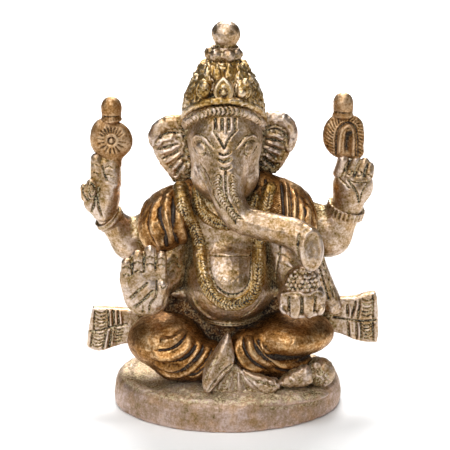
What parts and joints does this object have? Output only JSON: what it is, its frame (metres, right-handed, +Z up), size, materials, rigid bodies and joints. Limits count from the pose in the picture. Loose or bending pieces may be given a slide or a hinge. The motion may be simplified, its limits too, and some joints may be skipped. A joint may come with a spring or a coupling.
{
  "type": "deity statuette",
  "caption": "Seated four-armed elephant-headed deity figurine in cast brass on an oval plinth, with crown, shawl, garland, bowl of sweets and a mouse at its feet.",
  "frame": {"origin": "middle of the flat underside of the plinth", "axes": "+Z up, the figure faces -Y, its own left side is +X"},
  "size_m": [0.0684, 0.0422, 0.09],
  "materials": {
    "plinth_brass": "worn, silvery-pink, lightly pitted cast brass",
    "skin_brass": "pale worn cast brass with dark antiquing in the creases",
    "cloth_bronze": "warm bronze-toned satin cast brass",
    "gilt_brass": "yellow-gold cast brass with dark recesses",
    "held_bronze": "brown-gold worn cast brass"
  },
  "bodies": {
    "root": {"back_shawl": "cloth_bronze", "belly": "skin_brass", "brow_band": "skin_brass", "chest": "skin_brass", "conch": "held_bronze", "conch_knob": "held_bronze", "crown": "gilt_brass", "crown_brim": "gilt_brass", "crown_collar": "skin_brass", "crown_finial": "skin_brass", "crown_front_medallion": "gilt_brass", "crown_left_medallion": "gilt_brass", "crown_petals": "gilt_brass", "crown_right_medallion": "gilt_brass", "disc": "held_bronze", "disc_knob": "held_bronze", "front_left_forearm": "skin_brass", "front_left_upper_arm": "skin_brass", "front_pleats": "skin_brass", "front_right_forearm": "skin_brass", "front_right_upper_arm": "skin_brass", "garland": "gilt_brass", "head": "skin_brass", "hips": "cloth_bronze", "left_bowl_hand": "skin_brass", "left_ear": "skin_brass", "left_foot": "skin_brass", "left_leg": "cloth_bronze", "left_scarf_end": "skin_brass", "left_scarf_tail": "skin_brass", "left_shawl": "cloth_bronze", "mouse": "skin_brass", "necklace": "gilt_brass", "plinth": "plinth_brass", "rear_left_bracelet": "skin_brass", "rear_left_forearm": "skin_brass", "rear_left_hand": "skin_brass", "rear_left_upper_arm": "skin_brass", "rear_right_bracelet": "skin_brass", "rear_right_forearm": "skin_brass", "rear_right_hand": "skin_brass", "rear_right_upper_arm": "skin_brass", "right_ear": "skin_brass", "right_foot": "skin_brass", "right_leg": "cloth_bronze", "right_palm": "skin_brass", "right_scarf_end": "skin_brass", "right_shawl": "cloth_bronze", "sweet_bowl": "skin_brass", "trunk": "skin_brass", "waist_sash": "skin_brass"}
  },
  "joints": []
}
